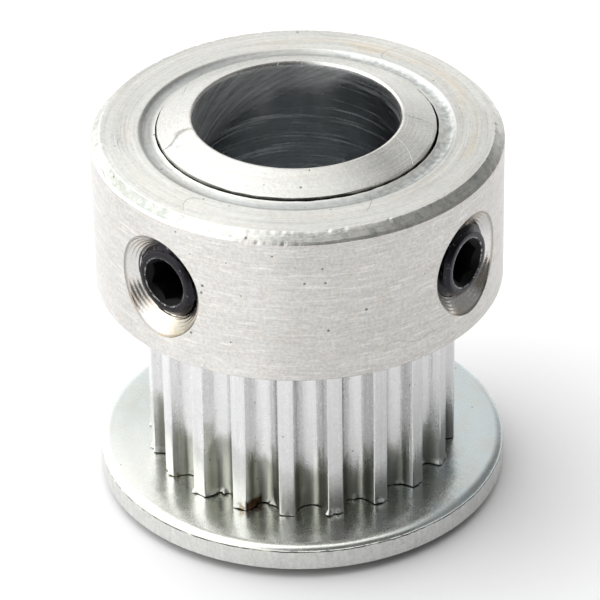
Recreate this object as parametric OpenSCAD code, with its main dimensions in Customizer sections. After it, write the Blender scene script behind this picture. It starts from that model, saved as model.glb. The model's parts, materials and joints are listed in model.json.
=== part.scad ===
// Timing belt pulley with a set-screw collar, in millimetres.
// The origin is on the bore's axis, at the sleeve's lower end; +Z runs up to the collar.
// Set screw A lies along +X.

/* [Shaft bore] */
// Diameter of the shaft bore
bore_d = 8; // [5:0.1:8.6]
// Edge break at the bore's lower end
bore_break = 0.2; // [0.05:0.05:0.4]

/* [Belt teeth] */
// Number of teeth
teeth = 20; // [20:1:22]
// Pitch of the belt
belt_pitch = 2; // [2:0.05:2.1]
// Distance from the tooth tips out to the belt's pitch line
pitch_line_offset = 0.254; // [0.2:0.002:0.3]
// Radius of the round bottom of each groove
groove_r = 0.555; // [0.5:0.005:0.57]
// Depth of each groove
groove_depth = 0.75; // [0.7:0.01:0.8]
// Width of each groove's mouth at the tooth tips
groove_mouth = 1.34; // [1.2:0.01:1.45]
// Free height of the teeth between flange and collar
tooth_h = 7.62; // [6.5:0.01:9]
// Angle of the first groove from +X
groove_start = 2.5; // [0:0.5:17.5]

/* [Belt flange] */
// Diameter of the pressed flange
flange_d = 16.2; // [15:0.1:20]
// Thickness of the flange
flange_t = 1.1; // [0.8:0.05:1.5]
// Radius that the punch leaves on the flange's upper edge
flange_edge_r = 0.29; // [0.1:0.01:0.35]
// Diameter of the hole that seats on the sleeve
flange_bore_d = 10.4; // [10:0.05:10.6]
// How far the lip that holds the flange on stands out from the flange's hole
lip_w = 0.45; // [0.2:0.05:0.6]
// Height of that lip below the flange
lip_h = 0.4; // [0.2:0.05:0.6]
// Edge break on the lip
lip_break = 0.1; // [0.05:0.05:0.15]

/* [Collar] */
// Diameter of the collar
collar_d = 16; // [15:0.1:20]
// Height of the collar
collar_h = 6.44; // [6:0.01:9]
// Chamfer on the collar's upper edge
collar_chamfer = 0.38; // [0.1:0.01:0.6]
// Edge break on the collar's lower edge
collar_break = 0.1; // [0.05:0.01:0.3]
// Diameter of the seat between sleeve and collar
seat_d = 10.86; // [10.6:0.01:11]
// Width of the round staking groove next to the seat
stake_w = 0.68; // [0.4:0.01:0.8]
// Depth of the staking groove
stake_depth = 0.12; // [0.05:0.01:0.3]

/* [Sleeve end] */
// How far the seat's edge stands above the collar
seat_proud = 0.09; // [0:0.01:0.2]
// How far the cone rises from the seat to the bore
cone_rise = 0.51; // [0.3:0.01:0.8]
// Edge break at the bore's upper end
cone_break = 0.12; // [0.05:0.01:0.3]

/* [Set screws] */
// Thread diameter of the set screws
screw_d = 3; // [2.5:0.1:3.2]
// Length of each set screw
screw_len = 3; // [2.5:0.1:3]
// Radial clearance between a screw and its hole
screw_gap = 0.02; // [0.01:0.01:0.1]
// Flat size of the hex socket
socket_af = 1.5; // [1.3:0.1:1.5]
// Depth of the hex socket
socket_depth = 1.3; // [1:0.1:1.5]
// Mouth diameter of the socket's countersink
socket_mouth_d = 2; // [1.8:0.05:2.1]
// Width of the chamfer at each end of a screw
screw_chamfer = 0.23; // [0.1:0.01:0.24]
// Diameter of the cup point's rim
cup_d = 1.4; // [1:0.1:1.8]
// Height of the screws' axes above the collar's underside
screw_z_in_collar = 3; // [2.6:0.05:3.4]
// Distance from the bore's axis to the outer face of screw A
screw_a_face = 7.85; // [7.5:0.05:7.95]
// Distance from the bore's axis to the outer face of screw B
screw_b_face = 7.6; // [7.5:0.05:7.95]
// Angle from screw A to screw B about +Z
screw_b_angle = -97; // [-120:1:-80]
// Radius of each screw hole's countersink at the collar's surface
sink_r = 2.14; // [1.8:0.01:2.4]

/* [Hidden] */
$fn = 96;
cut = 1; // how far a cutter runs past the surface that it cuts
bore_r = bore_d / 2;
tip_r = teeth * belt_pitch / (2 * PI) - pitch_line_offset;
groove_centre = tip_r - groove_depth + groove_r;
flange_r = flange_d / 2;
flange_bore_r = flange_bore_d / 2;
lip_r = flange_bore_r + lip_w;
teeth_z = lip_h + flange_t;
collar_r = collar_d / 2;
collar_z = teeth_z + tooth_h;
collar_top = collar_z + collar_h;
seat_r = seat_d / 2;
seat_top = collar_top + seat_proud;
sleeve_top = seat_top + cone_rise;
stake_r = (pow(stake_w / 2, 2) + pow(stake_depth, 2)) / (2 * stake_depth);
screw_z = collar_z + screw_z_in_collar;
hole_r = screw_d / 2;
screw_r = hole_r - screw_gap;
socket_r = socket_af / sqrt(3); // from the socket's axis to a corner of the hexagon

// A groove for one belt tooth: a round bottom and a mouth that widens to the tooth tips.
module groove_2d() {
    flare = (groove_mouth / 2 - groove_r) / (tip_r - groove_centre);
    reach = tip_r - groove_centre + cut;
    wide = groove_r + flare * reach;
    translate([groove_centre, 0]) {
        circle(r = groove_r);
        polygon([[0, -groove_r], [reach, -wide], [reach, wide], [0, groove_r]]);
    }
}

module tooth_ring() {
    translate([0, 0, teeth_z]) linear_extrude(tooth_h) difference() {
        circle(r = tip_r);
        for (i = [0 : teeth - 1]) rotate(groove_start + i * 360 / teeth) groove_2d();
    }
}

// The sleeve without its teeth: lip and seat for the flange, tooth core and seat for the collar.
module sleeve_core() {
    core_r = tip_r - groove_depth;
    rotate_extrude() polygon([
        [bore_r + bore_break, 0],
        [lip_r - lip_break, 0],
        [lip_r, lip_break],
        [lip_r, lip_h],
        [flange_bore_r, lip_h],
        [flange_bore_r, teeth_z],
        [core_r, teeth_z],
        [core_r, collar_z],
        [seat_r, collar_z],
        [seat_r, seat_top],
        [bore_r + cone_break, sleeve_top],
        [bore_r, sleeve_top - cone_break],
        [bore_r, bore_break]
    ]);
}

// Moves its children, drawn along +Z from the bore's axis, onto a set screw's axis.
module on_screw_axis(angle) {
    translate([0, 0, screw_z]) rotate([0, 90, angle]) children();
}

module screw_hole(angle) {
    on_screw_axis(angle) {
        cylinder(r = hole_r, h = collar_r + cut);
        translate([0, 0, collar_r - sink_r]) cylinder(r1 = 0, r2 = sink_r + cut, h = sink_r + cut);
    }
}

module screw_holes() {
    screw_hole(0);
    screw_hole(screw_b_angle);
}

// Aluminium sleeve: the shaft bore, the belt teeth, the seats and the lip that holds the flange on.
module toothed_sleeve() {
    color([0.86, 0.86, 0.85]) difference() {
        union() {
            sleeve_core();
            tooth_ring();
        }
        screw_holes();
        cylinder(r = bore_r, h = collar_top);
    }
}

// Aluminium collar: pressed down on the sleeve, staked at its top face, tapped for two set screws.
module set_collar() {
    color([0.82, 0.82, 0.81]) difference() {
        rotate_extrude() polygon([
            [seat_r, collar_z],
            [collar_r - collar_break, collar_z],
            [collar_r, collar_z + collar_break],
            [collar_r, collar_top - collar_chamfer],
            [collar_r - collar_chamfer, collar_top],
            [seat_r, collar_top]
        ]);
        rotate_extrude() translate([seat_r + stake_w / 2, collar_top + stake_r - stake_depth])
            circle(r = stake_r);
        screw_holes();
    }
}

// Zinc-plated steel flange, punched from sheet: its upper edge is round and its lower edge is sharp.
module belt_flange() {
    color([0.78, 0.8, 0.8]) rotate_extrude() difference() {
        translate([flange_bore_r, lip_h]) square([flange_r - flange_bore_r, flange_t]);
        translate([flange_r - flange_edge_r, teeth_z - flange_edge_r]) difference() {
            square(flange_edge_r + cut);
            circle(r = flange_edge_r);
        }
    }
}

// Black set screw along +Z: cup point at z = 0, hex socket at the far end.
module set_screw() {
    flat_r = screw_r - screw_chamfer;
    cup_r = cup_d / 2;
    mouth_r = socket_mouth_d / 2;
    color([0.1, 0.1, 0.11]) difference() {
        rotate_extrude() polygon([
            [0, cup_r / 2],
            [cup_r, 0],
            [screw_r, screw_r - cup_r],
            [screw_r, screw_len - screw_chamfer],
            [flat_r, screw_len],
            [0, screw_len]
        ]);
        translate([0, 0, screw_len - socket_depth]) {
            linear_extrude(socket_depth + cut) circle(r = socket_r, $fn = 6);
            translate([0, 0, socket_depth - mouth_r]) cylinder(r1 = 0, r2 = mouth_r + cut, h = mouth_r + cut);
        }
    }
}

module set_screw_a() {
    on_screw_axis(0) translate([0, 0, screw_a_face - screw_len]) set_screw();
}

module set_screw_b() {
    on_screw_axis(screw_b_angle) translate([0, 0, screw_b_face - screw_len]) set_screw();
}

toothed_sleeve();
set_collar();
belt_flange();
set_screw_a();
set_screw_b();
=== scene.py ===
"""Looks of the timing belt pulley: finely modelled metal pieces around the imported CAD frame.

Lengths are in millimetres until build() writes them to a mesh in metres.
Angles are in radians unless a name says deg.
"""

import json
import math

import bpy
import numpy as np
from mathutils import Matrix, Vector


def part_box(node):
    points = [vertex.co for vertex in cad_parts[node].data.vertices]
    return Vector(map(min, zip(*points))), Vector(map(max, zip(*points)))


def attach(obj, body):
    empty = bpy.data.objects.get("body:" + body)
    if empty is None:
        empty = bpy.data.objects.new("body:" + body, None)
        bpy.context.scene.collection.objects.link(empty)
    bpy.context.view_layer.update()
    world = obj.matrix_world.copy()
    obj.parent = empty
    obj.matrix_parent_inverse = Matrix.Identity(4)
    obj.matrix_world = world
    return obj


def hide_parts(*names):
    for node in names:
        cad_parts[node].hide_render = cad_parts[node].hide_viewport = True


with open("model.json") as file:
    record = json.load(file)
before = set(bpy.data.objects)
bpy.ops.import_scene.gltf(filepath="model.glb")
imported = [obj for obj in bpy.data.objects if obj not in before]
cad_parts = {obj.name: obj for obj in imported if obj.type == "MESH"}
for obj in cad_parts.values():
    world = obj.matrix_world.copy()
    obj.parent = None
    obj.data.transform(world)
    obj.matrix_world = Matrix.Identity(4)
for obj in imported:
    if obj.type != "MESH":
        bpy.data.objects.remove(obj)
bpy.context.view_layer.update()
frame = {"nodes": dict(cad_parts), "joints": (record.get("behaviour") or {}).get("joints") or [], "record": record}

MM = 0.001
TURN = 2 * math.pi

# ---------------------------------------------------------------- sizes that the frame gives


def box_mm(node_name):
    """The low and high corner of a CAD node's box."""
    lo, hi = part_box(node_name)
    return np.array(lo) / MM, np.array(hi) / MM


def mount_radius(name):
    return next(m for m in frame["record"]["mounts"] if m["name"] == name)["dims"]["r_mm"]


_, SLEEVE_HI = box_mm("toothed_sleeve")
COLLAR_LO, COLLAR_HI = box_mm("set_collar")
FLANGE_LO, FLANGE_HI = box_mm("belt_flange")
BORE_R = mount_radius("shaft_bore")
TIP_R = mount_radius("belt_track")
COLLAR_R = COLLAR_HI[1]
COLLAR_Z = COLLAR_LO[2]
COLLAR_TOP = COLLAR_HI[2]
FLANGE_R = FLANGE_HI[1]
FLANGE_Z = FLANGE_LO[2]
FLANGE_TOP = FLANGE_HI[2]
SLEEVE_TOP = SLEEVE_HI[2]

# ---------------------------------------------------------------- sizes of the details

TEETH = 20
GROOVE_START_DEG = 2.5
GROOVE_R = 0.555
GROOVE_DEPTH = 0.75
FLANK_LEAN_DEG = 21.6
TIP_FILLET = 0.06
BURR = 0.12  # the longest burrs at the teeth's lower ends, before they taper

SEAT_R = 5.43  # where collar and sleeve meet
SEAT_TOP = COLLAR_TOP + 0.09
CHAMFER = 0.38
COLLAR_BREAK = 0.09  # radius at the collar's lower edge
CHAMFER_EDGE = 0.035  # radius at the chamfer's two edges
STAKE_W = 0.68  # the staking groove next to the seat
STAKE_DEPTH = 0.12
STAKE_OUT = SEAT_R + STAKE_W

FLANGE_BORE_R = 5.2
LIP_R = 5.65  # the lip under the flange
ROLL_WIDE = 0.42  # the flange's rolled edge, left by the punch
ROLL_HIGH = 0.27
ROLL_CROWN = 0.03
ROLL_EASE = 0.6  # how far inside the rolled edge the flange starts to fall
TORN_Z = FLANGE_TOP - ROLL_CROWN - ROLL_HIGH  # the torn line under the rolled edge

PITCH = 0.5
THREAD_R = 1.5
THREAD_ROOT_R = 1.2
THREAD_GAP = 0.03
SINK_R = 2.14  # the screw holes' countersink at the collar's surface
CHATTER = 0.007  # ridges that the countersinking tool left
CHATTER_PITCH = 0.11
SCREW_LENGTH = 3.0
SCREW_FLAT_R = 1.24
SCREW_CUP_R = 0.7
SOCKET_FLATS = 1.5
SOCKET_DEPTH = 1.3
SOCKET_MOUTH_R = 1.0

FIT_GAP = 0.006  # keeps touching pieces apart
SEGMENTS = 640  # points round the collar and the flange
SCREW_SEGMENTS = 144
rng = np.random.default_rng(7)

# ---------------------------------------------------------------- camera and light

CAMERA_AZIMUTH = 35.51
CAMERA_ELEVATION = 32.88
CAMERA_ROLL = 0.967
CAMERA_AIM_Z = 7.62
CAMERA_DISTANCE = 164.46
CAMERA_LENS = 249.8
SKY_STRENGTH = 1.32

# degrees to the camera's right, elevation, inner and outer radius, change of brightness
SKY_PATCHES = (
    (-95, 26, 25, 70, 0.55),
    (26, 25, 28, 53, -0.9),
    (108, 24, 18, 57, -0.78),
    (165, 34, 10, 45, -0.24),
)


def sky_direction(azimuth_deg, elevation_deg):
    """Towards a place in the sky: azimuth 0 is -Y, 90 is +X."""
    a, e = math.radians(azimuth_deg), math.radians(elevation_deg)
    return math.sin(a) * math.cos(e), -math.cos(a) * math.cos(e), math.sin(e)


# ---------------------------------------------------------------- uneven edges


def wobble(angle, low, high, amount):
    """A smooth random curve round the axis, of whole waves from low to high, about amount r.m.s."""
    orders = np.arange(low, high + 1)
    phases = rng.uniform(0, TURN, len(orders))
    waves = np.cos(orders * np.asarray(angle)[..., None] + phases)
    return waves.sum(-1) * amount * math.sqrt(2 / len(orders))


def bumps(angle, count, width, amount):
    """Sparse one-sided bumps at random places round the axis."""
    total = np.zeros_like(angle)
    for place, size in zip(rng.uniform(0, TURN, count), rng.uniform(0.3, 1, count)):
        away = np.angle(np.exp(1j * (angle - place)))
        total += size * amount * np.exp(-((away / width) ** 2))
    return total


def facing(angles, side_deg):
    """The cosine of the angle between each direction and the one side_deg to the camera's right."""
    x, y, _ = sky_direction(CAMERA_AZIMUTH + side_deg, 0)
    return np.cos(angles - math.atan2(y, x))


# ---------------------------------------------------------------- mesh helpers


def build(name, rings, materials, zones, loop=False, poles=()):
    """A closed mesh from rings of equally many points. zones gives each band's material index."""
    count, around = rings.shape[:2]
    points = rings.reshape(-1, 3)
    bands = count if loop else count - 1
    i, j = np.meshgrid(np.arange(bands), np.arange(around), indexing="ij")
    a, b = (i % count) * around, ((i + 1) % count) * around
    k = (j + 1) % around
    faces = np.stack([a + j, a + k, b + k, b + j], -1).reshape(-1, 4).tolist()
    index = np.repeat(np.asarray(zones)[:bands], around).tolist()
    for pole, ring in zip(poles, (0, count - 1)):
        points = np.vstack([points, pole])
        centre = len(points) - 1
        for n in range(around):
            edge = [ring * around + n, ring * around + (n + 1) % around]
            faces.append([centre] + (edge[::-1] if ring == 0 else edge))
        index += [int(zones[0 if ring == 0 else bands - 1])] * around
    mesh = bpy.data.meshes.new(name)
    mesh.from_pydata((points * MM).tolist(), [], faces)
    mesh.polygons.foreach_set("material_index", index)
    if signed_volume(mesh) < 0:
        mesh.flip_normals()
    for material in materials:
        mesh.materials.append(material)
    obj = bpy.data.objects.new(name, mesh)
    bpy.context.scene.collection.objects.link(obj)
    return obj


def signed_volume(mesh):
    """A mesh's volume, negative if its faces point inwards."""
    mesh.calc_loop_triangles()
    co = np.empty(len(mesh.vertices) * 3)
    mesh.vertices.foreach_get("co", co)
    tri = np.empty(len(mesh.loop_triangles) * 3, np.int32)
    mesh.loop_triangles.foreach_get("vertices", tri)
    p = co.reshape(-1, 3)[tri.reshape(-1, 3)]
    return float(np.einsum("ij,ij->i", p[:, 0], np.cross(p[:, 1], p[:, 2])).sum()) / 6


def cut(target, cutter):
    """Takes cutter out of target and deletes it. The new faces keep the cutter's material index."""
    modifier = target.modifiers.new("cut", "BOOLEAN")
    modifier.operation = "DIFFERENCE"
    modifier.solver = "MANIFOLD"
    modifier.object = cutter
    graph = bpy.context.evaluated_depsgraph_get()
    mesh = bpy.data.meshes.new_from_object(target.evaluated_get(graph), depsgraph=graph)
    target.modifiers.clear()
    target.data = mesh
    bpy.data.objects.remove(cutter)


def shade(obj, sharp_deg):
    """Smooth shading that breaks at edges sharper than sharp_deg."""
    obj.data.shade_smooth()
    obj.data.set_sharp_from_angle(angle=math.radians(sharp_deg))


def arc(centre, radius, start_deg, end_deg, steps):
    """Points (radius, height) along an arc, both ends included."""
    a = np.radians(np.linspace(start_deg, end_deg, steps))
    return np.stack([centre[0] + radius * np.cos(a), centre[1] + radius * np.sin(a)], 1)


def line(start, end, steps):
    """Points from start up to, but not including, end."""
    t = np.linspace(0, 1, steps, endpoint=False)[:, None]
    return np.asarray(start) + t * (np.asarray(end) - np.asarray(start))


def revolve(profile, angles):
    """Rings from a profile of (radius, height) points."""
    r, z = profile[:, 0, None], profile[:, 1, None]
    return np.stack([r * np.cos(angles), r * np.sin(angles), z * np.ones_like(angles)], -1)


def push(rings, select, radial, height):
    """Moves the selected rings by per-angle radial and height amounts."""
    part = rings[select]
    unit = part[..., :2] / np.linalg.norm(part[..., :2], axis=-1, keepdims=True)
    part[..., :2] += unit * np.asarray(radial)[..., None]
    part[..., 2] += height
    rings[select] = part


# ---------------------------------------------------------------- material helpers


def feed(tree, socket, value):
    """Gives an input a plain value or another node's output."""
    if isinstance(value, bpy.types.NodeSocket):
        tree.links.new(value, socket)
    else:
        socket.default_value = value


def node(tree, kind, settings=None, **inputs):
    """A node with its settings and inputs. i0, i1... are inputs by number; _ in a name is a space."""
    made = tree.nodes.new(kind)
    for key, value in (settings or {}).items():
        setattr(made, key, value)
    for key, value in inputs.items():
        by_number = key[0] == "i" and key[1:].isdigit()
        feed(tree, made.inputs[int(key[1:]) if by_number else key.replace("_", " ")], value)
    return made


def maths(tree, operation, a, b=0.0, c=0.0):
    return node(tree, "ShaderNodeMath", {"operation": operation}, i0=a, i1=b, i2=c).outputs[0]


def span(tree, value, low, high, to_low=0.0, to_high=1.0, kind="SMOOTHSTEP"):
    """to_low where value is at low, to_high where it is at high, and an even passage between."""
    return node(
        tree, "ShaderNodeMapRange", {"interpolation_type": kind},
        i0=value, i1=low, i2=high, i3=to_low, i4=to_high,
    ).outputs[0]


def blend_colour(tree, factor, a, b, mode="MIX"):
    """a where factor is 0, and b, or a with b blended in by mode, where it is 1."""
    made = tree.nodes.new("ShaderNodeMix")
    made.data_type = "RGBA"
    made.blend_type = mode
    for name, kind, value in (("Factor", "VALUE", factor), ("A", "RGBA", a), ("B", "RGBA", b)):
        feed(tree, next(s for s in made.inputs if s.name == name and s.type == kind), value)
    return next(s for s in made.outputs if s.type == "RGBA")


def grey(value):
    return (value, value, value, 1)


class Metal:
    """A metal under construction: its node tree, the place in millimetres and cylindrical helpers."""

    def __init__(self, name):
        self.material = bpy.data.materials.new(name)
        self.material.use_nodes = True
        self.tree = self.material.node_tree
        self.tree.nodes.clear()
        coords = node(self.tree, "ShaderNodeTexCoord").outputs["Object"]
        self.place = self.vector("SCALE", i0=coords, Scale=1 / MM)
        x, y, self.z = node(self.tree, "ShaderNodeSeparateXYZ", i0=self.place).outputs
        flat = self.joined(x, y, 0.0)
        self.radius = self.vector("LENGTH", "Value", i0=flat)
        self.unit = self.vector("NORMALIZE", i0=flat)

    # arithmetic

    def vector(self, operation, output=0, **inputs):
        made = node(self.tree, "ShaderNodeVectorMath", {"operation": operation}, **inputs)
        return made.outputs[output]

    def joined(self, x, y, z):
        return node(self.tree, "ShaderNodeCombineXYZ", i0=x, i1=y, i2=z).outputs[0]

    def times(self, a, b):
        return maths(self.tree, "MULTIPLY", a, b)

    def minus(self, a, b):
        return maths(self.tree, "SUBTRACT", a, b)

    def add(self, *parts, base=0.0):
        """base plus the sum of (value, weight) pairs."""
        total = base
        for value, weight in parts:
            total = maths(self.tree, "MULTIPLY_ADD", value, weight, total)
        return total

    def span(self, value, low, high, to_low=0.0, to_high=1.0):
        return span(self.tree, value, low, high, to_low, to_high)

    # coordinates

    def turned(self, across, around):
        """Noise runs in rings round the axis: across changes per mm of the profile, around per turn."""
        run = self.times(self.minus(self.z, self.radius), across)
        ring = self.vector("SCALE", i0=self.unit, Scale=around)
        return self.vector("ADD", i0=ring, i1=self.joined(0.0, 0.0, run))

    def drawn(self, across, along):
        """Noise runs in streaks up the axis."""
        return self.vector("MULTIPLY", i0=self.place, i1=(across, across, along))

    def even(self, scale):
        """Noise looks the same in every direction."""
        return self.drawn(scale, scale)

    def twisted(self, around, along, per_mm):
        """Noise runs in slanting streaks on a round wall."""
        turn = self.times(self.z, per_mm)
        settings = {"rotation_type": "Z_AXIS"}
        spun = node(self.tree, "ShaderNodeVectorRotate", settings, Vector=self.unit, Angle=turn)
        wide = self.vector("SCALE", i0=spun.outputs[0], Scale=around)
        return self.vector("ADD", i0=wide, i1=self.joined(0.0, 0.0, self.times(self.z, along)))

    # patterns and masks

    def noise(self, vector, detail=2.0, roughness=0.5):
        settings = {"Scale": 1.0, "Detail": detail, "Roughness": roughness}
        return node(self.tree, "ShaderNodeTexNoise", Vector=vector, **settings).outputs[0]

    def pits(self, scale, size, share):
        """1 in round pits of mixed sizes in about a share of the cells, else 0."""
        cells = node(self.tree, "ShaderNodeTexVoronoi", Vector=self.even(scale), Scale=1.0)
        luck = node(self.tree, "ShaderNodeSeparateColor", Color=cells.outputs["Color"])
        radius = self.add((luck.outputs["Green"], size), base=size * 0.4)
        reach = maths(self.tree, "DIVIDE", cells.outputs["Distance"], radius)
        chosen = maths(self.tree, "LESS_THAN", luck.outputs["Red"], share)
        return self.times(self.span(reach, 0.5, 1.0, 1.0, 0.0), chosen)

    def hairs(self, scale, width, share=0.6):
        """1 along sparse, gently curved hair scratches, else 0."""
        wave = self.noise(self.even(scale), 0.0)
        away = maths(self.tree, "ABSOLUTE", self.minus(wave, 0.5))
        gate = self.span(self.noise(self.even(scale * 1.3), 0.0), share, share + 0.04)
        return self.times(self.span(away, 0.0, width, 1.0, 0.0), gate)

    def side(self, side_deg, low, high):
        """1 on the side that faces side_deg to the camera's right, falling to 0 away from it.

        low and high are the cosines of the angles at which it is 0 and 1.
        """
        towards = sky_direction(CAMERA_AZIMUTH + side_deg, 0)
        return self.span(self.vector("DOT_PRODUCT", "Value", i0=self.unit, i1=towards), low, high)

    def band(self, value, low, high, soft):
        """1 where value is between low and high."""
        rise = self.span(value, low - soft, low + soft)
        fall = self.span(value, high - soft, high + soft, 1.0, 0.0)
        return self.times(rise, fall)

    # colours

    def level(self, tone):
        """A grey colour from a tone."""
        return node(self.tree, "ShaderNodeCombineColor", Red=tone, Green=tone, Blue=tone).outputs[0]

    def mixed(self, mask, colour, other):
        """colour where mask is 0, other where it is 1."""
        return blend_colour(self.tree, mask, colour, other)

    def tinted(self, colour, mask, tint):
        """Multiplies colour by tint where mask is 1."""
        return self.mixed(mask, colour, blend_colour(self.tree, 1.0, colour, tint, "MULTIPLY"))

    # the finished metal

    def finish(self, colour, roughness, height, depth_mm, **more):
        """Ends the tree with a metal whose bump is depth_mm deep where height goes from 0 to 1."""
        bump = node(self.tree, "ShaderNodeBump", Strength=1.0, Distance=depth_mm * MM, Height=height)
        surface = node(
            self.tree, "ShaderNodeBsdfPrincipled",
            Base_Color=colour, Metallic=1.0, Roughness=roughness, Normal=bump.outputs[0], **more,
        )
        out = node(self.tree, "ShaderNodeOutputMaterial", Surface=surface.outputs[0])
        self.tree.nodes.active = out
        return self.material

    def finish_turned(self, colour, roughness, height, depth_mm):
        settings = {"direction_type": "RADIAL", "axis": "Z"}
        tangent = node(self.tree, "ShaderNodeTangent", settings).outputs[0]
        shine = {"Anisotropic": 0.4, "Anisotropic_Rotation": 0.25, "Tangent": tangent}
        return self.finish(colour, roughness, height, depth_mm, **shine)


# ---------------------------------------------------------------- aluminium

COOL = (0.995, 0.98, 0.945, 1)
WARM = (1.0, 0.965, 0.915, 1)
FACED = (1.0, 1.0, 0.955, 1)
WARM_STAIN = (1.0, 0.93, 0.84, 1)
BLUE_STAIN = (0.78, 0.83, 0.87, 1)
GREY_STAIN = (0.60, 0.63, 0.61, 1)
SEAM_GRIME_AND_SHADE = (0.12, 0.12, 0.11, 1)
LOW_OLIVE_TINT = (0.43, 0.44, 0.38, 1)
CRUMBS = (0.42, 0.32, 0.20, 1)
RUST = (0.060, 0.034, 0.018, 1)
BORE_SHADE = (0.95, 0.98, 1.0, 1)
CUT_HAZE = (1.0, 0.90, 0.77, 1)
SINK_RIM = (0.38, 0.36, 0.33, 1)
SINK_SHADE = (0.58, 0.57, 0.50, 1)


def collar_side_aluminium():
    """The collar's turned side: short level streaks, grain, small dark pits, a few hair scratches, and painted
    light and shade by side.
    """
    m = Metal("collar_side_aluminium")
    streak = m.noise(m.turned(13.0, 9.0), 3.0, 0.7)
    dashes = m.span(m.noise(m.turned(9.0, 6.0), 2.0, 0.6), 0.56, 0.70)
    feed_marks = m.noise(m.turned(3.0, 1.0), 1.0)
    grain = m.noise(m.even(8.5), 3.0, 0.8)
    patch = m.noise(m.even(0.4), 2.0)
    pits = m.pits(1.9, 0.11, 0.4)
    hairs = m.hairs(0.4, 0.004, 0.6)
    tone = m.add((streak, 0.34), (feed_marks, 0.07), (grain, 0.50), (patch, 0.06), base=0.15)
    # painted light and shade: darker towards the camera's front right, lighter at its left
    tone = m.add((dashes, 0.10), (hairs, -0.12), (m.side(20, -0.2, 0.7), -0.09), base=tone)
    tone = m.add((m.side(-60, 0.4, 0.95), 0.05), (m.side(-26, 0.88, 0.99), 0.09), base=tone)
    warmth = m.span(m.noise(m.even(2.4), 2.0), 0.42, 0.6)
    colour = m.tinted(m.level(tone), 1.0, m.mixed(warmth, COOL, WARM))
    colour = m.mixed(m.times(pits, 0.8), colour, grey(0.10))
    rough = m.add((streak, 0.16), (grain, 0.18), base=0.2)
    height = m.add((streak, 0.9), (feed_marks, 0.6), (grain, 1.2), (pits, -1.6), (hairs, 0.8))
    return m.finish_turned(colour, rough, height, 0.007)


def groove_shade(m):
    """The change of tone in the staking groove: darker with a mottle that is strongest at the camera's right, a
    painted highlight there and painted shade at its left.
    """
    groove = m.band(m.radius, SEAT_R + 0.15, STAKE_OUT - 0.03, 0.1)
    mottled = m.span(m.noise(m.even(4.0), 3.0, 0.7), 0.38, 0.64, -0.6, 0.4)
    right_side_mottle = m.add((m.side(95, 0.0, 0.8), 0.8), base=0.2)
    dark = m.add((m.times(mottled, right_side_mottle), 1.0), base=0.6)
    # painted highlight at the camera's right, painted shade at its left
    shade_change = m.add((dark, -0.27), (m.side(95, 0.4, 0.95), 0.13), (m.side(-75, 0.6, 0.95), -0.12))
    return m.times(groove, shade_change)


def turned_face_aluminium(name, tone, roughness, ring, stained, painted_light_by_side):
    """A faced end: fine rings, stained patches that follow the rings, pits, hair scratches, and light and shade
    painted by side.

    ring is the rings' contrast, and stained says how strong the grey patches are.
    painted_light_by_side lists painted light and shade, narrow painted glints among them: (side_deg, low, high,
    change of tone), as in Metal.side.
    """
    m = Metal(name)
    fine = m.noise(m.turned(15.0, 2.4), 3.0, 0.7)
    broad = m.noise(m.turned(3.4, 1.1), 2.0, 0.5)
    grain = m.noise(m.even(8.0), 3.0, 0.75)
    pits = m.pits(1.8, 0.11, 0.4)
    hairs = m.hairs(0.4, 0.004, 0.58)
    level = tone - ring * 1.3 - 0.17
    level = m.add((fine, ring * 1.6), (broad, ring), (grain, 0.34), (hairs, -0.3), base=level)
    level = m.add((groove_shade(m), 1.0), base=level)
    # painted light, shade and glints, by side
    for side_deg, low, high, change in painted_light_by_side:
        level = m.add((m.side(side_deg, low, high), change), base=level)

    warm_ring = m.times(m.band(m.radius, 6.35, 7.0, 0.25), m.side(115, 0.0, 0.7))
    blotch = m.span(m.noise(m.turned(1.8, 2.2), 3.0, 0.6), 0.42, 0.62)
    stain = m.add((m.times(warm_ring, blotch), 0.9), (blotch, 0.2))
    soft_patch = m.span(m.noise(m.even(2.2), 4.0, 0.75), 0.44, 0.70, 0.0, stained)
    worn_spot = m.times(m.side(-51, 0.94, 0.985), m.noise(m.even(4.5), 4.0, 0.8))
    grey_patch = m.add((worn_spot, stained * 1.5), base=soft_patch)
    blue_ring = m.band(m.radius, SEAT_R + 0.17, STAKE_OUT - 0.01, 0.15)
    blue = m.times(blue_ring, m.noise(m.turned(0.5, 1.2), 1.0))
    seam = m.band(m.radius, SEAT_R - 0.05, SEAT_R + 0.022, 0.008)
    # The seam is darker: dirt, plus painted shade that is strongest at the camera's front right.
    seam_grime_and_shade = m.add((m.side(35, -0.3, 0.6), 0.75), (m.noise(m.even(2.5), 2.0), 0.5))

    colour = m.tinted(m.level(level), 1.0, FACED)
    colour = m.tinted(colour, stain, WARM_STAIN)
    colour = m.tinted(colour, blue, BLUE_STAIN)
    colour = m.tinted(colour, grey_patch, GREY_STAIN)
    colour = m.tinted(colour, m.times(seam, seam_grime_and_shade), SEAM_GRIME_AND_SHADE)
    colour = m.mixed(m.times(pits, 0.75), colour, grey(0.12))
    rough = m.add((fine, 0.14), (grain, 0.14), (stain, 0.05), (blue, 0.28), base=roughness - 0.14)
    height = m.add((fine, 1.1), (broad, 0.7), (grain, 0.9), (pits, -1.5), (hairs, -1.2))
    return m.finish_turned(colour, rough, height, 0.006)


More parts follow.
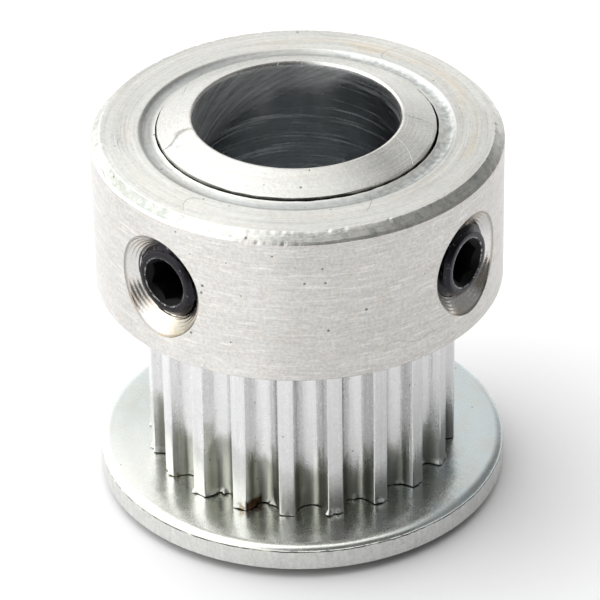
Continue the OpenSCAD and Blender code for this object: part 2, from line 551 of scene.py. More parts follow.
def tooth_aluminium():
    """Drawn tooth flanks: streaks up the axis, pits, rusty crumbs, a darker olive tint low down, and painted shade
    towards the camera's right.
    """
    m = Metal("tooth_aluminium")
    streaks = m.noise(m.drawn(8.0, 0.3), 3.0, 0.6)
    grain = m.noise(m.even(7.0), 3.0, 0.72)
    pits = m.pits(2.1, 0.09, 0.4)
    # painted shade: darker towards the camera's right, the lands most
    right = m.side(55, 0.1, 0.9)
    land = m.span(m.radius, TIP_R - 0.02, TIP_R - 0.006)
    painted_shade_on_right_lands = m.times(land, right)
    tone = m.add((streaks, 0.20), (grain, 0.24), (right, -0.07), (painted_shade_on_right_lands, -0.08), base=0.52)
    colour = m.mixed(m.times(pits, 0.55), m.level(tone), grey(0.12))

    # A darker olive tint low down, deepest in the groove roots and reaching higher at the camera's left.
    low_tint_top = m.add((m.noise(m.drawn(0.9, 0.2), 2.0), 2.6), base=FLANGE_TOP + 0.35)
    low_tint_top = m.add((m.side(-50, 0.2, 0.9), 0.8), base=low_tint_top)
    low_tint = m.span(m.minus(m.z, low_tint_top), -0.35, 0.35, 1.0, 0.0)
    deep = m.span(m.radius, TIP_R - 0.02, TIP_R - 0.3, 0.25, 0.85)
    colour = m.tinted(colour, m.times(low_tint, deep), LOW_OLIVE_TINT)

    corner = m.span(m.z, FLANGE_TOP + 0.6, FLANGE_TOP + 0.1)
    crumbs = m.span(m.noise(m.even(1.3), 3.0, 0.6), 0.60, 0.67, 0.0, 0.9)
    colour = m.tinted(colour, m.times(corner, crumbs), CRUMBS)

    ragged = m.add((m.noise(m.even(3.0), 2.0), 0.5), base=m.z)
    low_down = m.span(ragged, FLANGE_TOP + 0.55, FLANGE_TOP + 0.8, 1.0, 0.0)
    one_groove = m.side(-19.6, 0.9989, 0.9996)
    colour = m.mixed(m.times(low_down, one_groove), colour, RUST)

    rough = m.add((streaks, 0.12), (grain, 0.14), (low_tint, 0.06), base=0.12)
    height = m.add((streaks, 1.0), (grain, 0.7), (pits, -1.4))
    return m.finish(colour, rough, height, 0.007)


def bore_aluminium():
    """The reamed bore: level tool marks, smooth below and scuffed aslant near its upper end."""
    m = Metal("bore_aluminium")
    marks = m.noise(m.turned(4.4, 0.8), 4.0, 0.65)
    fine = m.noise(m.turned(9.0, 1.6), 3.0, 0.7)
    scuff = m.noise(m.twisted(13.0, 1.2, 0.5), 4.0, 0.7)
    grain = m.noise(m.even(7.0), 3.0, 0.75)
    nicks = m.times(m.pits(2.2, 0.12, 0.35), m.side(70, -0.3, 0.5))

    edge = m.add(
        (m.side(-75, -0.2, 0.9), -1.4),
        (m.side(-150, 0.4, 0.8), -0.95),
        (m.noise(m.turned(0.3, 1.1), 2.0), -0.6),
        (m.noise(m.twisted(6.0, 0.8, 0.5), 3.0, 0.6), -0.5),
        base=SLEEVE_TOP + 0.35,
    )
    upper = m.span(m.minus(m.z, edge), -0.6, 0.6)
    lower = m.minus(1.0, upper)
    arcs = m.times(m.span(marks, 0.53, 0.68), lower)
    slant = m.times(scuff, upper)
    tone = m.add((marks, 0.12), (fine, 0.35), (arcs, 0.24), (grain, 0.3), base=0.33)
    tone = m.add((slant, 1.25), (upper, -0.62), (m.times(nicks, upper), 0.35), base=tone)
    colour = m.tinted(m.level(tone), lower, BORE_SHADE)
    rough = m.add((upper, 0.24), (slant, 0.12), (grain, 0.12), (fine, 0.08), (arcs, 0.20), base=0.10)
    height = m.add((marks, 1.0), (fine, 0.5), (arcs, 0.4), (slant, 0.8), (grain, 0.3))
    return m.finish(colour, rough, height, 0.008)


def tapped_aluminium():
    """Threads and countersinks: bright and freshly cut, with a little rust-brown haze, and painted shade low in
    one countersink.
    """
    m = Metal("tapped_aluminium")
    grain = m.noise(m.even(9.0), 3.0, 0.65)
    haze = m.span(m.noise(m.even(0.9), 2.0), 0.4, 0.65, 0.2, 1.0)
    rim = m.span(m.radius, COLLAR_R - 0.10, COLLAR_R - 0.03, 0.0, 0.7)
    # painted shade on the lower part of one countersink
    painted_shade_low_right = m.times(m.side(-31, 0.985, 0.997), m.span(m.z, COLLAR_Z + 2.48, COLLAR_Z + 1.78))
    colour = m.level(m.add((grain, 0.34), base=0.48))
    colour = m.tinted(colour, haze, CUT_HAZE)
    colour = m.tinted(colour, rim, SINK_RIM)
    colour = m.tinted(colour, painted_shade_low_right, SINK_SHADE)
    return m.finish(colour, m.add((grain, 0.16), base=0.12), grain, 0.005)


# ---------------------------------------------------------------- steel

ZINC_WARM = (0.635, 0.655, 0.61, 1)
ZINC_COOL = (0.63, 0.68, 0.665, 1)
ZINC_GRAIN = (0.95, 1.0, 0.98, 1)
ZINC_PAINTED_LIGHT_FRONT_LEFT = (0.95, 0.96, 0.90, 1)
ZINC_PAINTED_SHADE_RIGHT = (0.85, 0.87, 0.90, 1)
ZINC_UNDERSIDE_SHADE = (0.30, 0.30, 0.28, 1)
TORN_LINE_SHADE = (0.30, 0.30, 0.27, 1)
SHEARED = (1.0, 1.0, 0.97, 1)
OXIDE = (0.019, 0.018, 0.022, 1)
OXIDE_SPECK = (0.24, 0.23, 0.24, 1)


def zinc_steel():
    """Zinc-plated sheet: a smooth, faintly green-blue skin with soft clouds and sparse pits, painted light at the
    camera's front left, and painted shade at its right, on the underside and along the torn line.
    """
    m = Metal("zinc_steel")
    cloud = m.noise(m.even(0.8), 3.0, 0.55)
    skin = m.noise(m.even(2.2), 2.0, 0.5)
    grain = m.noise(m.even(8.0), 2.0, 0.7)
    pits = m.pits(1.5, 0.08, 0.35)
    colour = m.mixed(m.span(cloud, 0.4, 0.6), ZINC_WARM, ZINC_COOL)
    colour = m.mixed(m.add((grain, 0.16), (skin, 0.14)), colour, ZINC_GRAIN)
    # painted light at the camera's front left, painted shade at its right
    colour = m.mixed(m.times(m.side(-30, 0.2, 0.85), 0.8), colour, ZINC_PAINTED_LIGHT_FRONT_LEFT)
    colour = m.tinted(colour, m.side(100, 0.0, 0.8), ZINC_PAINTED_SHADE_RIGHT)
    # painted shade: a dark underside darkens the gap under the flange
    underside = m.span(m.z, FLANGE_Z + 0.05, FLANGE_Z + 0.02)
    colour = m.tinted(colour, underside, ZINC_UNDERSIDE_SHADE)
    # painted shade in the notch along the torn line under the rolled edge
    torn = m.band(m.z, TORN_Z - 0.02, TORN_Z + 0.03, 0.008)
    torn = m.times(torn, m.span(m.noise(m.even(1.2), 2.0), 0.35, 0.6, 0.3, 0.9))
    colour = m.tinted(colour, torn, TORN_LINE_SHADE)
    colour = m.mixed(m.times(pits, 0.6), colour, grey(0.15))
    rough = m.add((skin, 0.16), (grain, 0.12), base=0.12)
    height = m.add((skin, 1.2), (grain, 0.12), (pits, -0.9))
    return m.finish(colour, rough, height, 0.007)


def sheared_steel():
    """The flange's punched rim: plated over upright shear marks, with painted shade towards the camera's front
    right.
    """
    m = Metal("sheared_steel")
    shear = m.noise(m.drawn(5.0, 1.2), 3.0, 0.65)
    grain = m.noise(m.even(7.5), 3.0, 0.75)
    pits = m.pits(1.7, 0.07, 0.4)
    # painted shade towards the camera's front right
    tone = m.add((shear, 0.28), (grain, 0.40), (m.side(45, 0.2, 1.0), -0.10), base=0.355)
    colour = m.tinted(m.level(tone), 1.0, SHEARED)
    colour = m.mixed(m.times(pits, 0.6), colour, grey(0.15))
    rough = m.add((shear, 0.16), (grain, 0.18), base=0.22)
    height = m.add((shear, 1.2), (grain, 1.0), (pits, -1.0))
    return m.finish(colour, rough, height, 0.009)


def black_oxide():
    """Oiled black oxide: near black with a soft shine and a few brighter rubbed specks."""
    m = Metal("black_oxide")
    grain = m.noise(m.even(6.0), 3.0, 0.65)
    specks = m.span(m.noise(m.even(4.5), 4.0, 0.75), 0.6, 0.72)
    colour = m.mixed(specks, OXIDE, OXIDE_SPECK)
    rough = m.add((grain, 0.25), base=0.18)
    return m.finish(colour, rough, grain, 0.008, Coat_Weight=0.15, Coat_Roughness=0.3)


def socket_black():
    """The inside of a hex socket: black oxide that oil and soot have made dull."""
    m = Metal("socket_black")
    grain = m.noise(m.even(6.0), 2.0)
    colour = m.level(m.add((grain, 0.012), base=0.006))
    return m.finish(colour, m.add((grain, 0.2), base=0.4), grain, 0.006)


def rubbed_steel():
    """The ring that the hex key has rubbed bright at the mouth of a socket."""
    m = Metal("rubbed_steel")
    grain = m.noise(m.even(5.0), 3.0, 0.7)
    colour = m.level(m.span(grain, 0.42, 0.66, 0.03, 0.32))
    return m.finish(colour, m.add((grain, 0.2), base=0.2), grain, 0.006)


# ---------------------------------------------------------------- threads and screw holes


def screw_frame(index):
    """A set screw's axis, the level direction across it, and its height."""
    axis = np.array(frame["joints"][index]["axis"], float)
    lo, hi = box_mm("set_screw_a")
    return axis, np.cross((0, 0, 1), axis), (lo[2] + hi[2]) / 2


def place_on_axis(index, s, r, phi):
    """Points at distance s along a screw's axis from the bore's axis, r from it, phi round it."""
    axis, across, height = screw_frame(index)
    up = np.array([0, 0, 1])
    s, r, phi = np.broadcast_arrays(s, r, phi)
    away = (r * np.cos(phi))[..., None] * across + (r * np.sin(phi))[..., None] * up
    return s[..., None] * axis + away + height * up


def thread_radius(s, phi):
    """A right-hand V thread that keeps its place on the axis, so that screw and hole are in mesh."""
    depth = math.sqrt(3) / 2 * PITCH
    phase = (s / PITCH - phi / TURN + 0.5) % 1.0 - 0.5
    return THREAD_R + depth / 8 - 2 * depth * np.abs(phase)


def hole_cutter(index, materials, zone, start):
    """The space of a tapped hole with its countersink, from start outwards along the screw's axis."""
    inside = np.arange(start, COLLAR_R - 1.0, 0.04)
    near_surface = np.arange(COLLAR_R - 1.0, COLLAR_R + 0.6, 0.02)
    phi = np.linspace(0, TURN, SCREW_SEGMENTS, endpoint=False)
    s, phi = np.meshgrid(np.concatenate([inside, near_surface]), phi, indexing="ij")
    tapped = thread_radius(s, phi) + THREAD_GAP
    tapped = np.clip(tapped, THREAD_ROOT_R + 0.05, THREAD_R + THREAD_GAP)
    uneven = 0.75 + 0.25 * np.cos(phi * 2 + 1.2)
    sink = SINK_R - (COLLAR_R - s) + CHATTER * np.sin(TURN * s / CHATTER_PITCH + phi) * uneven
    surface = np.sqrt(COLLAR_R**2 - (SINK_R * np.cos(phi)) ** 2)
    bevel = SINK_R - (COLLAR_R - surface) + 0.01 + 2.2 * (s - surface)
    sink = np.maximum(sink, np.minimum(bevel, sink + 0.3))
    rings = place_on_axis(index, s, np.maximum(tapped, sink), phi)
    poles = [place_on_axis(index, s[k, 0], 0.0, 0.0) for k in (0, -1)]
    return build(f"cutter{index}", rings, materials, [zone] * len(rings), poles=poles)


def screw_face(name, axis):
    """How far along its own axis a screw's outer face lies."""
    co = np.array([v.co for v in frame["nodes"][name].data.vertices]) / MM
    return float((co @ axis).max())


def set_screw(name, index, materials, turn_deg):
    """A black set screw: threads, chamfered ends, cup point, hex socket with a rubbed mouth."""
    black, socket, rubbed = range(3)
    axis, _, _ = screw_frame(index)
    face = screw_face(name, axis)
    tip = face - SCREW_LENGTH
    phi = np.linspace(0, TURN, SCREW_SEGMENTS, endpoint=False)
    rows, zones = [], []

    def add(s, r, zone=black):
        rows.append(place_on_axis(index, np.broadcast_to(s, phi.shape), r, phi))
        zones.append(zone)

    add(tip + SCREW_CUP_R / 2 * 0.98, 0.02)
    add(tip + 0.03, SCREW_CUP_R - 0.05)
    add(tip, SCREW_CUP_R)
    for s in np.arange(tip + 0.02, face - 0.01, 0.025):
        chamfer = np.minimum(SCREW_FLAT_R + (face - s), SCREW_CUP_R + (s - tip))
        r = np.clip(thread_radius(s, phi), THREAD_ROOT_R, THREAD_R - 0.02)
        add(s, np.minimum(r, chamfer))
    add(face - 0.008, SCREW_FLAT_R - 0.004)
    add(face, SCREW_FLAT_R - 0.025)
    add(face, SOCKET_MOUTH_R + 0.035, rubbed)
    add(face - 0.012, SOCKET_MOUTH_R + 0.004, rubbed)
    mouth_r = SOCKET_MOUTH_R - 0.018
    add(face - 0.03, mouth_r, socket)
    corner = (phi - math.radians(turn_deg)) % (TURN / 6) - TURN / 12
    hexagon = SOCKET_FLATS / 2 / np.cos(corner)
    for part in (0.3, 0.65, 0.95):
        r = mouth_r * (1 - part) + hexagon * part
        add(face - 0.02 - (SOCKET_MOUTH_R - r), r, socket)
    add(face - 0.04 - (SOCKET_MOUTH_R - hexagon), hexagon * 0.997, socket)
    add(face - SOCKET_DEPTH, hexagon * 0.99, socket)
    add(face - SOCKET_DEPTH - 0.2, 0.02, socket)
    ends = (tip + SCREW_CUP_R / 2, face - SOCKET_DEPTH - 0.21)
    poles = [place_on_axis(index, np.array(s), 0.0, 0.0) for s in ends]
    obj = build(f"{name}_fine", np.stack(rows), materials, zones, poles=poles)
    shade(obj, 32)
    return obj


# ---------------------------------------------------------------- sleeve


def half_tooth():
    """From the middle of a groove along +X to the middle of the next tooth: bottom, flank, tip."""
    lean = math.radians(FLANK_LEAN_DEG)
    along = np.array([math.cos(lean), math.sin(lean)])
    across = np.array([-math.sin(lean), math.cos(lean)])
    centre = (TIP_R - GROOVE_DEPTH + GROOVE_R, 0)
    bottom = arc(centre, GROOVE_R, 180, 90 + FLANK_LEAN_DEG, 10)
    base = bottom[-1] + TIP_FILLET * across
    b = base @ along
    c = base @ base - (TIP_R - TIP_FILLET) ** 2
    tip_centre = base + (math.sqrt(b * b - c) - b) * along
    tip_angle = math.atan2(tip_centre[1], tip_centre[0])
    tip = arc(tip_centre, TIP_FILLET, FLANK_LEAN_DEG - 90, math.degrees(tip_angle), 6)
    land = np.linspace(tip_angle, TURN / TEETH / 2, 5)[1:]
    return np.vstack([bottom, tip, np.stack([TIP_R * np.cos(land), TIP_R * np.sin(land)], 1)])


def tooth_outline():
    """The sleeve's outline through its teeth, as (x, y) points."""
    half = half_tooth()
    one = np.vstack([half[1:-1][::-1] * (1, -1), half])
    points = []
    for n in range(TEETH):
        a = math.radians(GROOVE_START_DEG) + n * TURN / TEETH
        turn = np.array([[math.cos(a), math.sin(a)], [-math.sin(a), math.cos(a)]])
        points.append(one @ turn)
    return np.vstack(points)


def outward(outline):
    """Unit normals of a closed outline that runs anticlockwise."""
    run = np.roll(outline, -1, 0) - np.roll(outline, 1, 0)
    normal = np.stack([run[:, 1], -run[:, 0]], 1)
    return normal / np.linalg.norm(normal, axis=1, keepdims=True)


def sleeve_end_profile(edge_in):
    """The turned cone from the seam's edge inwards, then the break at the bore's upper end."""
    cone_end = (BORE_R + 0.13, SLEEVE_TOP - 0.006)
    points = []
    for r, z in line(edge_in, cone_end, 24)[1:]:
        ring = 0.0012 * math.sin(TURN * r / 0.17) + 0.0008 * math.sin(TURN * r / 0.11 + 1)
        points.append((r, z + ring))
    return points + [cone_end, (BORE_R + 0.09, SLEEVE_TOP - 0.012), (BORE_R + 0.02, SLEEVE_TOP - 0.08)]


def make_sleeve(materials):
    """Bore, teeth with burred lower ends, seats, and the turned conical end face."""
    teeth, turned, bore, tapped = range(4)
    outline = tooth_outline()
    normal = outward(outline)
    angles = np.unwrap(np.arctan2(outline[:, 1], outline[:, 0]))
    even = np.linspace(angles[0], angles[0] + TURN, len(angles), endpoint=False)
    flat = np.zeros_like(angles)
    rows, zones = [], []

    def circles(points, zone=turned):
        for point in points:
            rows.append(revolve(np.array([point]), even)[0])
            zones.append(zone)

    def toothed(z, grow, zone=teeth):
        xy = outline + normal * np.asarray(grow)[:, None]
        rows.append(np.concatenate([xy, np.broadcast_to(z, angles.shape)[:, None]], 1))
        zones.append(zone)

    burr = np.clip(wobble(angles, 8, 90, 0.014), 0, 0.05) + bumps(angles, 60, 0.018, BURR)
    lift = np.clip(wobble(angles, 10, 110, 0.008), -0.012, 0.03)

    # foot, lip and the flange's seat
    circles([(BORE_R, 0.2), (BORE_R + 0.19, 0.01), (BORE_R + 0.22, 0.0), (BORE_R + 0.7, 0.0)])
    circles([(LIP_R - 0.22, 0.0)])
    lip = len(rows)
    circles([(LIP_R - 0.12, 0.014), (LIP_R - 0.045, 0.06), (LIP_R - 0.008, 0.13)])
    circles([(LIP_R - 0.004, 0.2), (LIP_R - 0.012, FLANGE_Z - 0.06), (LIP_R - 0.05, FLANGE_Z - FIT_GAP)])
    circles([(FLANGE_BORE_R - FIT_GAP, FLANGE_Z - FIT_GAP)])
    circles([(FLANGE_BORE_R - FIT_GAP, FLANGE_TOP + 0.03)], teeth)

    # teeth, from their burred lower ends up
    base = FLANGE_TOP + 0.045 + lift
    toothed(base, flat - 0.05)
    toothed(base - 0.012, flat - 0.012 + burr * 0.6)
    toothed(base + 0.012, burr)
    toothed(base + 0.04, burr * 0.9)
    toothed(base + 0.10, burr * 0.55)
    toothed(base + 0.18, flat)
    for z in np.linspace(FLANGE_TOP + 0.4, COLLAR_Z - 0.2, 18):
        toothed(z, wobble(angles, 20, 160, 0.002))
    toothed(COLLAR_Z - FIT_GAP, flat, turned)

    # the collar's seat, seam, cone and bore
    seat = SEAT_R - FIT_GAP
    circles([(seat, COLLAR_Z - FIT_GAP), (seat, COLLAR_Z + 0.2)])
    circles([(seat, z) for z in np.linspace(COLLAR_Z + 1.0, COLLAR_TOP - 0.6, 4)])
    seam = len(rows)
    edge_in = (SEAT_R - 0.10, SEAT_TOP + 0.012)
    circles([(SEAT_R - 0.018, COLLAR_TOP - 0.30), (SEAT_R - 0.034, COLLAR_TOP - 0.10)])
    circles([(SEAT_R - 0.042, SEAT_TOP - 0.05), (SEAT_R - 0.057, SEAT_TOP - 0.012), edge_in])
    circles(sleeve_end_profile(edge_in))
    circles([(BORE_R, SLEEVE_TOP - 0.13)], bore)
    for z in np.linspace(SLEEVE_TOP - 0.3, 0.5, 28):
        circles([(BORE_R + 0.0015 * math.sin(z * 2.3 + 1), z)], bore)

    rings = np.stack(rows)
    worn = np.minimum(wobble(even, 2, 30, 0.012) - 0.02, 0)
    for k, share in enumerate((0.4, 0.8, 1.0, 1.0, 0.9, 0.8)):
        push(rings, lip + k, worn * share, 0)
    uneven = wobble(even, 2, 40, 0.006) + bumps(even, 5, 0.05, 0.02) + 0.012
    uneven = np.minimum(uneven - 0.022 * facing(even, 55), 0.045)
    for k, share in enumerate((0.3, 0.6, 1.0, 1.0, 0.7)):
        push(rings, seam + k, uneven * share, 0)
    obj = build("sleeve_fine", rings, materials, zones, loop=True)
    for index in (0, 1):
        cut(obj, hole_cutter(index, materials, tapped, BORE_R - 1.2))
    shade(obj, 34)
    return obj


# ---------------------------------------------------------------- collar


def stake_profile():
    """The staking groove from its outer edge to the seam: a steep outer wall and a long inner slope."""
    across = np.linspace(0.04, 1, 16)
    outer = 1 - (1 - across / 0.35) ** 2
    inner = np.cos((across - 0.35) * 1.75) ** 2
    drop = np.where(across < 0.35, outer, inner)
    return np.stack([STAKE_OUT - across * (STAKE_W - 0.045), COLLAR_TOP - STAKE_DEPTH * drop], 1)


def collar_profile():
    """(radius, height) points from the seat round the collar and back to the seat."""
    seat = SEAT_R + FIT_GAP
    edge = CHAMFER_EDGE
    side_top = COLLAR_TOP - CHAMFER
    face_r = COLLAR_R - CHAMFER
    chamfer_start = (COLLAR_R - edge * 0.7, side_top + edge * 0.7)
    chamfer_end = (face_r + edge * 0.7, COLLAR_TOP - edge * 0.7)
    parts = [
        line((seat, COLLAR_Z + 0.3), (seat, COLLAR_Z), 2),
        line((seat, COLLAR_Z), (COLLAR_R - COLLAR_BREAK, COLLAR_Z), 7),
        arc((COLLAR_R - COLLAR_BREAK, COLLAR_Z + COLLAR_BREAK), COLLAR_BREAK, -90, 0, 6),
        line((COLLAR_R, COLLAR_Z + COLLAR_BREAK), (COLLAR_R, side_top - edge), 34)[1:],
        arc((COLLAR_R - edge, side_top - edge * 0.4), edge, 0, 45, 4),
        line(chamfer_start, chamfer_end, 5)[1:],
        arc((face_r - edge * 0.4, COLLAR_TOP - edge), edge, 45, 90, 4),
        line((face_r - edge, COLLAR_TOP), (STAKE_OUT + 0.03, COLLAR_TOP), 20)[1:],
        [(STAKE_OUT + 0.03, COLLAR_TOP), (STAKE_OUT + 0.008, COLLAR_TOP - 0.006)],
        stake_profile(),
        [(SEAT_R + 0.032, COLLAR_TOP - 0.07), (SEAT_R + 0.022, COLLAR_TOP - 0.14)],
        [(SEAT_R + 0.012, COLLAR_TOP - 0.32), (seat, COLLAR_TOP - 0.5)],
        line((seat, COLLAR_TOP - 1.0), (seat, COLLAR_Z + 0.3), 4),
    ]
    return np.vstack(parts)


def wear_collar(rings, r, z, angles):
    """Makes the collar's seam, staking groove, edges and turned surfaces uneven."""
    side_top = COLLAR_TOP - CHAMFER
    near_rim = r > COLLAR_R - CHAMFER - 0.05
    seam = (r < SEAT_R + 0.16) & (z > COLLAR_TOP - 0.2)
    seam_radial = wobble(angles, 6, 60, 0.005) + bumps(angles, 7, 0.04, -0.02)
    push(rings, seam, seam_radial, wobble(angles, 3, 50, 0.003))
    staked = (r > SEAT_R + 0.12) & (r < STAKE_OUT - 0.02) & (z > COLLAR_TOP - STAKE_DEPTH - 0.01)
    peened = np.stack([wobble(angles, 12, 130, 0.0022) - 0.004 for _ in range(staked.sum())])
    push(rings, staked, 0, peened)
    worn = np.minimum(wobble(angles, 2, 24, 0.002) - 0.003, 0)
    push(rings, near_rim & (z > side_top - 0.05), worn, worn)
    for corner in (side_top, COLLAR_TOP, COLLAR_Z):
        inwards = 1 if corner > COLLAR_Z + 1 else -1
        dents = bumps(angles, 40, 0.007, -0.03) + np.minimum(wobble(angles, 60, 240, 0.005), 0)
        push(rings, near_rim & (abs(z - corner) < 0.03), dents, dents * inwards)
    face = np.isclose(z, COLLAR_TOP) & (r > STAKE_OUT)
    rings[face, :, 2] += (0.0012 * np.sin(TURN * r[face] / 0.19) - 0.0012)[:, None]
    side = np.isclose(r, COLLAR_R)
    wave = 0.0012 * np.sin(TURN * z[side] / 0.83) - 0.0015
    push(rings, side, wave[:, None] * np.ones_like(angles), 0)


def make_collar(materials):
    """The turned collar: rounded breaks, chamfer, staked groove, tapped and countersunk holes."""
    side_zone, face_zone, chamfer_zone, tapped = range(4)
    angles = np.linspace(0, TURN, SEGMENTS, endpoint=False)
    profile = collar_profile()
    r, z = profile.T
    rings = revolve(profile, angles)
    wear_collar(rings, r, z, angles)
    edge = CHAMFER_EDGE
    on_top = (z > COLLAR_TOP - CHAMFER - edge) & (r < COLLAR_R - edge * 0.5)
    on_chamfer = on_top & (z < COLLAR_TOP - edge * 0.3) & (r > COLLAR_R - CHAMFER - edge)
    zones = np.where(on_chamfer, chamfer_zone, np.where(on_top, face_zone, side_zone))
    obj = build("collar_fine", rings, materials, zones, loop=True)
    for index in (0, 1):
        cut(obj, hole_cutter(index, materials, tapped, SEAT_R - 0.8))
    shade(obj, 34)
    return obj


# ---------------------------------------------------------------- flange

FLANGE_INNER = FLANGE_BORE_R + FIT_GAP


def flange_profile(plated, sheared):
    """(radius, height) points round the flange's section, and each point's material index."""
    low, top, rim = FLANGE_Z, FLANGE_TOP, FLANGE_R
    corner = FLANGE_INNER + 0.02
    roll_start = rim - ROLL_WIDE
    eased = np.linspace(0, 1, 9)[1:-1]
    easing = np.stack([roll_start - ROLL_EASE * (1 - eased), top - ROLL_CROWN * eased**2], 1)
    roll = arc((0, 0), 1.0, 87, 10, 14) * (ROLL_WIDE, ROLL_HIGH) + (roll_start, TORN_Z)
    torn = [(rim - 0.010, TORN_Z + 0.030), (rim - 0.018, TORN_Z + 0.016), (rim - 0.018, TORN_Z - 0.004)]
    parts = [
        ([(FLANGE_INNER, low + 0.02), (FLANGE_INNER, top - 0.02), (corner, top)], plated),
        (line((corner, top), (roll_start - ROLL_EASE, top), 26)[1:], plated),
        (easing, plated),
        (roll, plated),
        (torn, plated),
        ([(rim - 0.004, TORN_Z - 0.018)], sheared),
        (line((rim, TORN_Z - 0.05), (rim, low + 0.04), 18), sheared),
        ([(rim - 0.004, low + 0.018), (rim - 0.014, low + 0.005), (rim - 0.03, low)], sheared),
        (line((rim - 0.06, low), (corner, low), 20), plated),
        ([(corner, low)], plated),
    ]
    points = np.vstack([points for points, _ in parts])
    zones = np.concatenate([[zone] * len(points) for points, zone in parts])
    return points, zones


def wear_flange(rings, r, z, angles):
    """Makes the flange's rolled edge, torn line, sheared rim and face uneven."""
    low, top, rim = FLANGE_Z, FLANGE_TOP, FLANGE_R
    rolled = (z > TORN_Z - 0.03) & (z < top - ROLL_CROWN) & (r > rim - ROLL_WIDE)
    worn = np.minimum(wobble(angles, 3, 22, 0.003) - 0.005, 0)
    push(rings, rolled, worn, wobble(angles, 3, 26, 0.002))
    torn = (z > TORN_Z - 0.03) & (z < TORN_Z + 0.035) & (r > rim - 0.05)
    push(rings, torn, 0 * angles, wobble(angles, 6, 150, 0.006))
    front = np.clip(0.55 + facing(angles, -25), 0, 1)
    notch = (abs(z - TORN_Z - 0.006) < 0.012) & (r > rim - 0.02)
    push(rings, notch, -front * np.clip(0.035 + wobble(angles, 3, 80, 0.018), 0, 0.07), 0)
    upright = (z < TORN_Z - 0.04) & (z > low + 0.03) & (r > rim - 0.001)
    shear = [np.minimum(wobble(angles, 20, 200, 0.003) - 0.004, 0) for _ in range(upright.sum())]
    push(rings, upright, np.stack(shear), 0)
    face = np.isclose(z, top) & (r > FLANGE_INNER + 0.01)
    sag = np.stack([wobble(angles, 1, 9, 0.0016) for _ in range(3)])
    mix = np.stack([np.sin(r[face] * 2.1), np.cos(r[face] * 1.3), np.sin(r[face] * 3.7)], 1)
    rings[face, :, 2] += np.minimum(mix @ sag, 0.003) - 0.003


def make_flange(materials):
    """The punched flange: flat face, rolled upper edge, a torn line under it and an upright rim."""
    angles = np.linspace(0, TURN, SEGMENTS, endpoint=False)
    profile, zones = flange_profile(plated=0, sheared=1)
    r, z = profile.T
    rings = revolve(profile, angles)
    wear_flange(rings, r, z, angles)
    obj = build("flange_fine", rings, materials, zones, loop=True)
    shade(obj, 34)
    return obj


# ---------------------------------------------------------------- stage


def make_floor():
    """A plain pale floor that runs past the picture's edges."""
    size = 1.5
    corners = [(-size, -size, 0), (size, -size, 0), (size, size, 0), (-size, size, 0)]
    mesh = bpy.data.meshes.new("floor")
    mesh.from_pydata(corners, [], [(0, 1, 2, 3)])
    floor = bpy.data.objects.new("floor", mesh)
    bpy.context.scene.collection.objects.link(floor)
    paint = bpy.data.materials.new("floor_paint")
    paint.use_nodes = True
    surface = paint.node_tree.nodes["Principled BSDF"]
    surface.inputs["Base Color"].default_value = (0.80, 0.80, 0.805, 1)
    surface.inputs["Roughness"].default_value = 0.7
    surface.inputs["Specular IOR Level"].default_value = 0.2
    mesh.materials.append(paint)


def make_sky():
    """White surroundings, brighter at the camera's left. The camera itself sees plain white."""
    world = bpy.data.worlds.new("studio")
    bpy.context.scene.world = world
    world.use_nodes = True
    tree = world.node_tree
    tree.nodes.clear()
    direction = node(tree, "ShaderNodeTexCoord").outputs["Generated"]
    light = SKY_STRENGTH
    for side_deg, elevation_deg, inner_deg, outer_deg, change in SKY_PATCHES:
        towards = sky_direction(CAMERA_AZIMUTH + side_deg, elevation_deg)
        settings = {"operation": "DOT_PRODUCT"}
        dot = node(tree, "ShaderNodeVectorMath", settings, i0=direction, i1=towards).outputs["Value"]
        low, high = math.cos(math.radians(outer_deg)), math.cos(math.radians(inner_deg))
        light = maths(tree, "MULTIPLY", light, span(tree, dot, low, high, 1.0, 1.0 + change))
    seen = node(tree, "ShaderNodeLightPath").outputs["Is Camera Ray"]
    light = span(tree, seen, 0.0, 1.0, light, 1.0, "LINEAR")
    background = node(tree, "ShaderNodeBackground", Color=(1.0, 1.0, 1.0, 1), Strength=light)
    node(tree, "ShaderNodeOutputWorld", Surface=background.outputs[0])


def make_window_light(side_deg, elevation_deg, spread_deg, strength):
    """Wide soft daylight for the floor and the pulley's shadow. Metals mirror the sky instead."""
    window = bpy.data.objects.new("window", bpy.data.lights.new("window", "SUN"))
    window.data.angle = math.radians(spread_deg)
    window.data.energy = strength
    window.visible_glossy = False
    towards = Vector(sky_direction(CAMERA_AZIMUTH + side_deg, elevation_deg))
    window.rotation_euler = (-towards).to_track_quat("-Z", "Y").to_euler()
    bpy.context.scene.collection.objects.link(window)


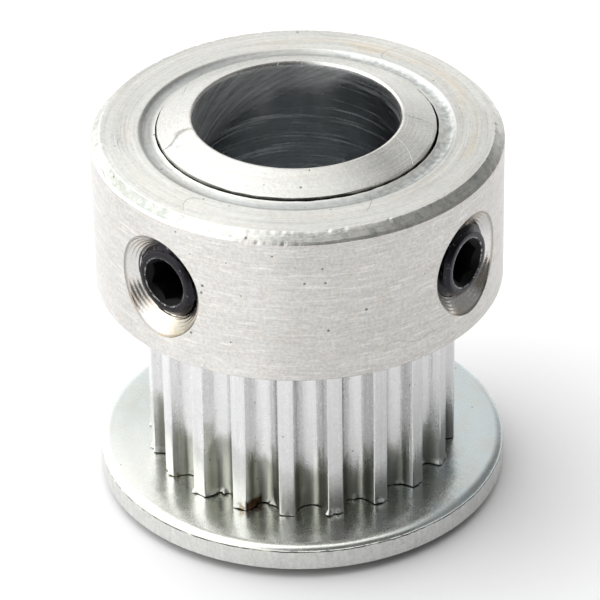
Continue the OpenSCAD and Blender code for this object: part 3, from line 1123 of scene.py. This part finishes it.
def make_camera():
    """A long lens that looks down on the middle of the pulley."""
    camera = bpy.data.objects.new("camera", bpy.data.cameras.new("camera"))
    camera.data.lens = CAMERA_LENS
    camera.data.sensor_width = 36
    camera.data.clip_start = 0.01
    camera.data.clip_end = 10
    back = Vector(sky_direction(CAMERA_AZIMUTH, CAMERA_ELEVATION))
    camera.location = (Vector((0, 0, CAMERA_AIM_Z)) + back * CAMERA_DISTANCE) * MM
    level = (-back).to_track_quat("-Z", "Y").to_matrix()
    roll = Matrix.Rotation(math.radians(-CAMERA_ROLL), 3, "Z")
    camera.rotation_euler = (level @ roll).to_euler()
    bpy.context.scene.collection.objects.link(camera)
    bpy.context.scene.camera = camera


# ---------------------------------------------------------------- assembly

# The side lists below paint light, shade and narrow glints onto the turned faces.
sleeve_end = turned_face_aluminium(
    "sleeve_end_aluminium", tone=0.65, roughness=0.25, ring=0.07, stained=0.12,
    painted_light_by_side=((100, 0.0, 0.9, 0.08), (66, 0.93, 0.995, 0.24), (112, 0.93, 0.99, -0.09)),
)
collar_face = turned_face_aluminium(
    "collar_face_aluminium", tone=0.73, roughness=0.30, ring=0.26, stained=0.10,
    painted_light_by_side=((100, 0.0, 0.9, -0.08), (-45, 0.75, 0.97, 0.11), (132, 0.8, 0.97, 0.07)),
)
collar_chamfer = turned_face_aluminium(
    "collar_chamfer_aluminium", tone=0.70, roughness=0.32, ring=0.20, stained=0.9,
    painted_light_by_side=((100, 0.0, 0.9, -0.04), (12, 0.965, 0.995, 0.22)),
)
tapped_metal = tapped_aluminium()
screw_metals = [black_oxide(), socket_black(), rubbed_steel()]

sleeve = make_sleeve([tooth_aluminium(), sleeve_end, bore_aluminium(), tapped_metal])
collar = make_collar([collar_side_aluminium(), collar_face, collar_chamfer, tapped_metal])
flange = make_flange([zinc_steel(), sheared_steel()])
screw_a = set_screw("set_screw_a", 0, screw_metals, turn_deg=10)
screw_b = set_screw("set_screw_b", 1, screw_metals, turn_deg=24)

for piece, body, cad_node, slot in (
    (sleeve, "pulley", "toothed_sleeve", "sleeve_aluminium"),
    (collar, "pulley", "set_collar", "collar_aluminium"),
    (flange, "pulley", "belt_flange", "flange_zinc_steel"),
    (screw_a, "screw_a", "set_screw_a", "screw_black_steel"),
    (screw_b, "screw_b", "set_screw_b", "screw_black_steel"),
):
    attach(piece, body)
    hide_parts(cad_node)

make_floor()
make_sky()
make_window_light(side_deg=-118, elevation_deg=55, spread_deg=60, strength=1.0)
make_window_light(side_deg=130, elevation_deg=40, spread_deg=60, strength=0.8)
make_camera()
bpy.context.scene.view_settings.view_transform = "Standard"
